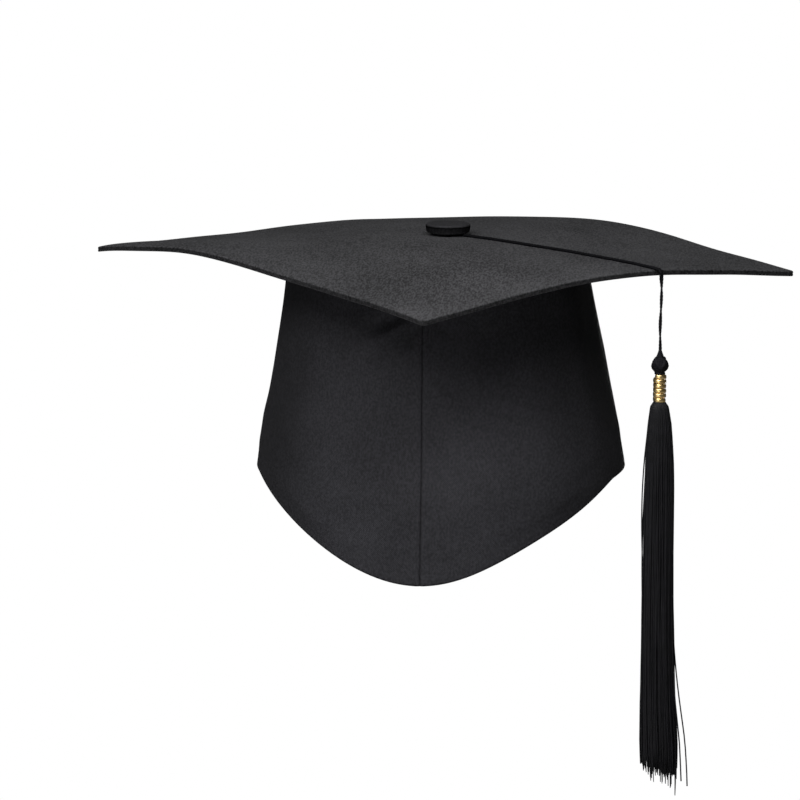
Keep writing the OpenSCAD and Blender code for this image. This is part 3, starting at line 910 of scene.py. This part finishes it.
def cord_xyz(rho, lateral, z):
    """A point at a distance from the button's axis along the cord, and at a distance beside it."""
    rho, lateral, z = np.broadcast_arrays(*[np.asarray(v, float) for v in (rho, lateral, z)])
    xy = rho[..., None] * CORD_DIR + lateral[..., None] * CORD_SIDE
    return np.concatenate([xy, z[..., None]], -1)


def run_height(rho, lateral):
    xy = cord_xyz(rho, lateral, 0.0)
    return board_z(xy[..., 0], xy[..., 1]) + STRAND + 0.16


def strand_path(side):
    """Centre line of one strand: out over the board, over its edge, and down to the tassel."""
    rho = RUN_RHO
    wander = 0.12 * np.sin(rho * 0.16 + side) * smoothstep(14, 30, rho) * (1 - smoothstep(110, 122, rho))
    bow = -1.6 * np.sin(np.clip((rho - LIFT_R) / (OUT_R - LIFT_R), 0, 1) * math.pi) ** 1.2
    open_ = side * (APART + (LOOP_R - APART) * (1 - smoothstep(2.0, 9, rho)))      # out to the loop
    lateral = np.where(rho < 9, open_, side * (APART + wander) + bow)
    flat = cord_xyz(rho, lateral, run_height(rho, lateral))
    # over the edge: a quarter turn to the hanging line
    turn = np.radians(np.linspace(0, 90, 12)[1:])
    radius = HANG_R - rho[-1]
    over = cord_xyz(rho[-1] + radius * np.sin(turn), side * APART, flat[-1][2] - radius * (1 - np.cos(turn)))
    top = over[-1][2]
    z = np.arange(top - 0.4, HEAD[2] + 2.0, -0.4)
    drop = top - z
    twist = drop / TWIST * TAU + 0.5 * np.sin(drop * 0.12)
    apart = APART + (TAUT_APART + 0.03 * np.sin(drop * 0.33) - APART) * smoothstep(0, 5, drop)
    hang = cord_xyz(HANG_R + side * apart * np.sin(twist), side * apart * np.cos(twist), z)
    sway = 0.35 * np.sin(drop * 0.17) * smoothstep(0, 6, drop) * (1 - smoothstep(28, 38, drop))
    hang[:, :2] += sway[:, None] * CORD_SIDE
    return flat, over, hang


def cord_piece(name, parts, start, end, nodes):
    """A piece of cord, which stays in the frame's axes and follows no body.
    start and end, each a (distance from the button's axis, height), are not used."""
    piece = yarns(name, parts, cord_yarn, slot="cord_yarn")
    start, end = (Vector(cord_xyz(rho, 0.0, z) * MM) for rho, z in (start, end))
    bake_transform(piece)
    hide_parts(*nodes)


def cord():
    """Two strands from a loop on the button's shank, over the edge and down, in three pieces."""
    strands = [strand_path(1), strand_path(-1)]
    (flat_a, over_a, _), (flat_b, _, _) = strands
    edge_z, hang_z = flat_a[-1][2], over_a[-1][2]
    around = np.radians(np.linspace(66, 294, 40))
    loop = cord_xyz(LOOP_R * np.cos(around), LOOP_R * np.sin(around), run_height(0.0, 0.0))
    path = np.concatenate([flat_a[:SPLIT + 1][::-1], loop[1:-1], flat_b[:SPLIT + 1]])
    cord_piece("cord_inner_run", [dict(path=path, radius=STRAND, **PLY)],
               (LIFT_R - 0.2, APEX), (LIFT_R + 3.6, APEX), ["cord_loop", "cord_run"])
    parts = [dict(path=np.concatenate([flat[SPLIT:], over]), radius=STRAND, **PLY)
             for flat, over, _ in strands]
    cord_piece("cord_outer_run", parts,
               (OUT_R - 0.4, edge_z), (HANG_R, hang_z), ["cord_bend"])
    parts = []
    for _, over, hang in strands:
        path = np.concatenate([over[-1:], hang])
        taut = smoothstep(0, 5, path[0][2] - path[:, 2])
        parts.append(dict(path=path, radius=STRAND + (TAUT - STRAND) * taut, **PLY))
    cord_piece("cord_hanging", parts, (HANG_R, hang_z - 0.1), (HANG_R, swing_side[2] - 3.0),
               ["cord_drop"])


# ---------- tassel head ----------

coil_low, coil_high = box_mm("neck_coil")
tie_low, tie_high = box_mm("head_tie")
BALL_R = 4.4
BALL_Z = coil_high[2] + BALL_R + 0.2
WOUND_R = 3.35       # middle of the yarn that is wound under the knot
HEAD_PLY = dict(lobes=3, lobe_depth=0.07)


def helix(radius, angle, z):
    """Points round the tassel's axis."""
    return np.stack([AXIS[0] + radius * np.cos(angle), AXIS[1] + radius * np.sin(angle), z], 1)


def head_knot():
    """A woven knot over a wound ball, and the collar of yarn between the ball and the coil."""
    leads, bights, radius = 3, 4, BALL_R - 1.0
    t = np.linspace(0, TAU, 420)
    lat = 1.12 * np.sin(bights * t)
    over = radius + 0.16 * np.cos(bights * leads * t)
    knot = helix(over * np.cos(lat), leads * t + 0.5, BALL_Z + over * np.sin(lat) * 0.96)
    # yarn wound from pole to pole over the bead
    pole = np.linspace(-1.35, 1.35, 520)
    wound = helix(WOUND_R * np.cos(pole), pole * 24, BALL_Z + WOUND_R * np.sin(pole))
    turn = np.linspace(0, 4 * math.pi * 0.98, 110)
    collar = helix(2.15, turn, coil_high[2] + 0.05 + 0.75 * turn / turn[-1])
    parts = [dict(path=knot, radius=1.0, sides=12, pitch=4.5, **HEAD_PLY),
             dict(path=wound, radius=0.62, sides=8, pitch=3.0, **HEAD_PLY),
             dict(path=collar, radius=0.5, sides=8, pitch=3.0, **HEAD_PLY)]
    yarns("tassel_head_knot", parts, knot_yarn, body="tassel", slot="tassel_yarn", replaces=["head_wrap"])


def head_tie():
    """The wound cone where the cord enters."""
    turns = 7
    t = np.linspace(0, 1, turns * 28)
    radius = 2.1 - 1.62 * t ** 0.7
    z = tie_low[2] - 0.9 + (tie_high[2] - tie_low[2] + 0.7) * t
    parts = [dict(path=helix(radius * share, TAU * turns * t, z), radius=0.36, sides=7)
             for share in (1.0, 0.72)]
    yarns("tassel_head_tie", parts, knot_yarn, body="tassel", slot="tassel_yarn", replaces=["head_tie"])


# ---------- gilt wire ----------

NECK_R = 2.6                 # radius of the wire's middle
WIRE_A, WIRE_B = 0.62, 1.04  # half widths of the flattened wire, across and along the neck
PITCH = 2.2
LEVEL = 0.8                  # how much of each wrap's drop happens at the back
COIL_START = math.radians(-135)


def signed_power(x, power):
    return np.sign(x) * np.abs(x) ** power


def neck_coil():
    """A flattened wire in wraps that look level from the front."""
    turns = (coil_high[2] - coil_low[2] - 2 * WIRE_B) / PITCH
    steps, sides = int(turns * 48), 16
    t = np.linspace(0, turns, steps)
    ring = np.arange(sides) * TAU / sides
    beaded = 1 + 0.05 * np.cos(2 * (ring[None] * 2 - t[:, None] * 40))
    across = WIRE_A * signed_power(np.cos(ring), 0.55)[None] * beaded
    along = WIRE_B * signed_power(np.sin(ring), 0.8)[None] * beaded
    radius = NECK_R + across + 0.03 * np.sin(t * 2.1)[:, None]
    from_front = COIL_START + math.pi / 2
    fall = t - LEVEL / (TAU) * (np.sin(TAU * t + from_front) - math.sin(from_front))
    fall *= t[-1] / fall[-1]
    height = coil_high[2] - WIRE_B - PITCH * fall[:, None] + along
    angle = np.broadcast_to((COIL_START + TAU * t)[:, None], radius.shape)
    points = helix(radius.ravel(), angle.ravel(), height.ravel())
    ends = [points[:sides].mean(0), points[-sides:].mean(0)]
    faces = [tuple(f) for f in grid_faces(steps, sides, 0, True, True)]
    faces += [fan[::-1] for fan in end_fans(sides, 0, (steps - 1) * sides, steps * sides)]
    make_object("neck_gilt_coil", np.concatenate([points, ends]), faces, gilt, body="tassel",
                slot="gilt_wire", replaces=["neck_coil"])


# ---------- skirt ----------

SKIRT_TOP = coil_low[2] + 0.6
SKIRT_LENGTH = SKIRT_TOP - box_mm("tassel_skirt")[0][2]
# radius of the bundle at distances below its top
BUNDLE_AT = np.array([0, 3, 10, 20, 30, 42, 100, 140, 170, 190])
BUNDLE_R = np.array([2.3, 4.3, 5.5, 6.3, 6.9, 7.2, 7.6, 8.4, 9.4, 9.0])
STRANDS = 420
GOLDEN = math.pi * (3 - math.sqrt(5))
# strands that stand away from the rest: (angle, from, to, reach, length), down from the skirt's top
STRAYS = [
    (3.2, 12, 90, 1.2, 174), (2.9, 30, 110, 0.8, 178), (0.1, 118, 210, 5.0, 193), (-0.4, 128, 215, 3.2, 189),
    (3.5, 60, 190, 0.8, 181),
]


def skirt_path(rho, angle, length, wave, stray=None):
    """One strand of the skirt, from inside the coil down to its cut end. rho is its share of the
    bundle's radius; wave is (swing, phase, stir, phase) of its slow bends."""
    swing, phase, stir, stir_phase = wave
    t = np.r_[-15.5, -7.0, -1.5, 0.0, 1.5, 3.0, np.linspace(5, length, 30)]
    r = np.where(t < 0, 1.7, np.interp(t, BUNDLE_AT, BUNDLE_R)) * rho
    turned = angle + swing * np.sin(t / 37 + phase) * smoothstep(5, 60, t)
    sway = np.interp(t, [0, 40, 100, 150, 190], [0.2, 0.6, 0.7, 1.6, 3.2]) * smoothstep(0, 10, t)
    stir = stir * smoothstep(20, 120, t)
    x = r * np.cos(turned) + sway + stir * np.sin(t / 23 + stir_phase)
    y = r * np.sin(turned) + stir * np.cos(t / 29 + phase)
    if stray:
        start, end, reach = stray
        quarter = 1.0 if end < 120 else 0.5      # an arch, or a tip that stays out
        out = reach * np.sin(np.clip((t - start) / (end - start), 0, 1) * math.pi * quarter) ** 1.5
        x, y = x + out * math.cos(angle), y + out * math.sin(angle)
    return np.stack([AXIS[0] + x, AXIS[1] + y, SKIRT_TOP - t], 1)


def skirt():
    """A bundle of strands, evenly spread over its section, and a few that stand away from it."""
    rng = np.random.RandomState(11)
    parts = []
    for i in range(STRANDS):
        rho = 0.97 * math.sqrt((i + 0.5) / STRANDS) ** 0.75
        angle = i * GOLDEN
        # cut a little longer on one side, with some uneven ends
        length = SKIRT_LENGTH + 1.5 + 3.0 * math.cos(angle) * rho + rng.normal(0, 2.4)
        length += rng.uniform(2, 8) if rng.rand() < 0.1 else 0
        wave = (rng.uniform(-0.14, 0.14), rng.uniform(0, 6.28), rng.uniform(0, 0.5), rng.uniform(0, 6.28))
        path = skirt_path(rho, angle, length, wave)
        radius = np.full(len(path), rng.uniform(0.34, 0.44))
        radius[:3] = 0.2
        radius[-2:] *= (0.9, 0.55)
        parts.append(dict(path=path, radius=radius, sides=6))
    for angle, start, end, reach, length in STRAYS:
        path = skirt_path(0.98, angle, length, (0.02, 0.5, 0.2, 1.0), (start, end, reach))
        parts.append(dict(path=path, radius=0.38, sides=6))
    yarns("tassel_skirt_strands", parts, tassel_yarn, body="tassel", slot="tassel_yarn",
          replaces=["tassel_skirt"])


# ---------- stitches ----------


def stitches(name, first, last, above_rim, inset_of, length, gap, side=-1, radius=0.17, slot="lining_cloth"):
    """A row of short stitches on the crown's wall at a height above the rim. Their ends dip into the
    cloth: inwards for side 1, outwards for a row on the inside, side -1."""
    def on_wall(a, dip):
        z = rim_height(a) + above_rim
        return crown_point(a, z, inset_of(a, z) + side * dip)

    fine = np.linspace(first, last, 4000)
    run = np.r_[0, np.cumsum(np.linalg.norm(np.diff(on_wall(fine, 0.0), axis=0), axis=1))]
    dip = np.array([0.12, 0.02, 0, 0, 0.02, 0.12])
    thinner = np.array([0.5, 0.9, 1, 1, 0.9, 0.5])
    parts = []
    at = gap
    while at + length < run[-1]:
        a = np.interp(np.linspace(at, at + length, 6), run, fine)
        parts.append(dict(path=on_wall(a, dip), radius=radius * thinner, sides=6))
        at += length + gap
    yarns(name, parts, stitch_thread, body="cap", slot=slot)


def all_stitches():
    """The rows of stitches that show: at the hem, on the sweatband and on the casing."""
    def outer_face(a, z):
        return -outer_relief(a, z) + 0.04

    def band_face(a, _):
        return sum(LAYERS["sweatband"]) + 0.05 + 0 * a

    def casing_face(a, _):
        return sum(LAYERS["casing"]) + casing_ease(a, rim_height(a) + BAND_H) + 0.05

    stitches("hem_stitches", -179.5, 179.5, HEM - 1.4, outer_face, 1.9, 0.9, 1, 0.14, "crown_cloth")
    stitches("sweatband_top_stitches", -140, 140, BAND_H, band_face, 2.4, 1.0)
    stitches("sweatband_low_stitches", -140, 140, 3.2, band_face, 2.4, 1.0)
    stitches("casing_top_stitches", 143, 217, BAND_H, casing_face, 2.2, 0.9)


# ---------- all the pieces ----------

crown_half(1, "left")
crown_half(-1, "right")
board_top()
board_core()
board_under()
ceiling()
bands()
button_layer("button_cloth", 0.0, 0.45, button_cloth, 0.11, "board_cloth", "button_cover")
button_layer("button_metal_shell", 0.7, 1.1, button_metal, 0.0, "button_metal", "button_shell")
cord()
head_knot()
head_tie()
neck_coil()
skirt()
all_stitches()

# the CAD nodes that stay in sight
for node, material in (("button_back", button_metal), ("button_rivet", button_metal),
                       ("button_washer", button_metal), ("head_bead", bead_plastic)):
    obj = frame["nodes"][node]
    obj.data.materials.clear()
    obj.data.materials.append(material)

# ---------- floor, light and camera ----------


def floor_material():
    """Matt white paper. The camera sees it evenly lit, and sees through it from below."""
    s = Shader("studio_floor")
    paper = s.noise(s.place(), 0.05, 3.0)
    s.set(Base_Color=s.mix(paper, (0.5, 0.5, 0.5), (0.54, 0.54, 0.54)), Roughness=0.9,
          Specular_IOR_Level=0.1)
    glow = s.node("Emission", Color=(1, 1, 1, 1), Strength=1.0).outputs[0]
    seen = s.node("LightPath").outputs["Is Camera Ray"]
    lit = s.node("MixShader", _0=seen, _1=s.bsdf.outputs[0], _2=glow).outputs[0]
    back = s.node("NewGeometry").outputs["Backfacing"]
    clear = s.node("BsdfTransparent").outputs[0]
    out = next(n for n in s.tree.nodes if n.type == "OUTPUT_MATERIAL")
    s.tree.links.new(s.node("MixShader", _0=back, _1=lit, _2=clear).outputs[0], out.inputs[0])
    return s.material


def studio_floor():
    bpy.ops.mesh.primitive_plane_add(size=60, location=(0, 0, -0.36))
    floor = bpy.context.object
    floor.name = "studio_floor"
    floor.data.materials.append(floor_material())


def studio_world():
    """A white backdrop that lights the cap much less than the camera sees it."""
    world = bpy.data.worlds.new("studio")
    bpy.context.scene.world = world
    world.use_nodes = True
    tree = world.node_tree
    background = tree.nodes["Background"]
    background.inputs["Color"].default_value = (1, 1, 1, 1)
    level = tree.nodes.new("ShaderNodeMapRange")
    level.inputs["To Min"].default_value = 0.06     # what lights the cap
    level.inputs["To Max"].default_value = 1.0      # what the camera sees
    seen = tree.nodes.new("ShaderNodeLightPath").outputs["Is Camera Ray"]
    tree.links.new(seen, level.inputs["Value"])
    tree.links.new(level.outputs[0], background.inputs["Strength"])


def area_light(name, place, target, size, power):
    data = bpy.data.lights.new(name, "AREA")
    data.shape = "RECTANGLE"
    data.size, data.size_y = size
    data.energy = power
    obj = bpy.data.objects.new(name, data)
    bpy.context.scene.collection.objects.link(obj)
    obj.location = place
    obj.rotation_mode = "QUATERNION"
    obj.rotation_quaternion = (Vector(target) - Vector(place)).to_track_quat("-Z", "Y")


def studio_camera(elevation, azimuth, roll, distance, lens, aim_right, aim_up):
    """A camera round the board's centre, in degrees, metres and millimetres of lens. It aims a
    little to the left of the centre and below it, by aim_right and aim_up."""
    elevation, azimuth, roll = (math.radians(angle) for angle in (elevation, azimuth, roll))
    centre = Vector((0, 0, APEX * MM))
    level = Vector((math.cos(azimuth), math.sin(azimuth), 0))
    ahead = Vector((math.sin(azimuth), -math.cos(azimuth), 0))
    back = ahead * math.cos(elevation) + Vector((0, 0, math.sin(elevation)))
    upright = back.cross(level)
    right = level * math.cos(roll) + upright * math.sin(roll)
    up = upright * math.cos(roll) - level * math.sin(roll)
    data = bpy.data.cameras.new("camera")
    data.sensor_width, data.lens = 36, lens
    data.clip_start, data.clip_end = 0.05, 100
    camera = bpy.data.objects.new("camera", data)
    bpy.context.scene.collection.objects.link(camera)
    camera.location = centre + back * distance
    z_axis = (camera.location - (centre + right * aim_right + up * aim_up)).normalized()
    x_axis = up.cross(z_axis).normalized()
    y_axis = z_axis.cross(x_axis)
    camera.rotation_mode = "QUATERNION"
    camera.rotation_quaternion = Matrix((x_axis, y_axis, z_axis)).transposed().to_quaternion()
    bpy.context.scene.camera = camera


studio_floor()
studio_world()
area_light("softbox_top", (0.08, -0.45, 0.52), (0, -0.08, 0.1), (0.4, 0.3), 3.6)
area_light("softbox_front", (-0.75, -1.35, 1.15), (0, 0, 0.03), (0.8, 0.6), 21)
area_light("fill_low", (-0.45, -1.6, -0.1), (0, 0, 0.05), (0.8, 0.5), 5.2)
area_light("softbox_back", (0, 1.7, -0.2), (0, 0, 0.03), (0.5, 0.25), 13)
studio_camera(elevation=8.2, azimuth=4.5, roll=0.4, distance=2.2, lens=198, aim_right=-0.024, aim_up=-0.0826)
bpy.context.scene.view_settings.view_transform = "Standard"
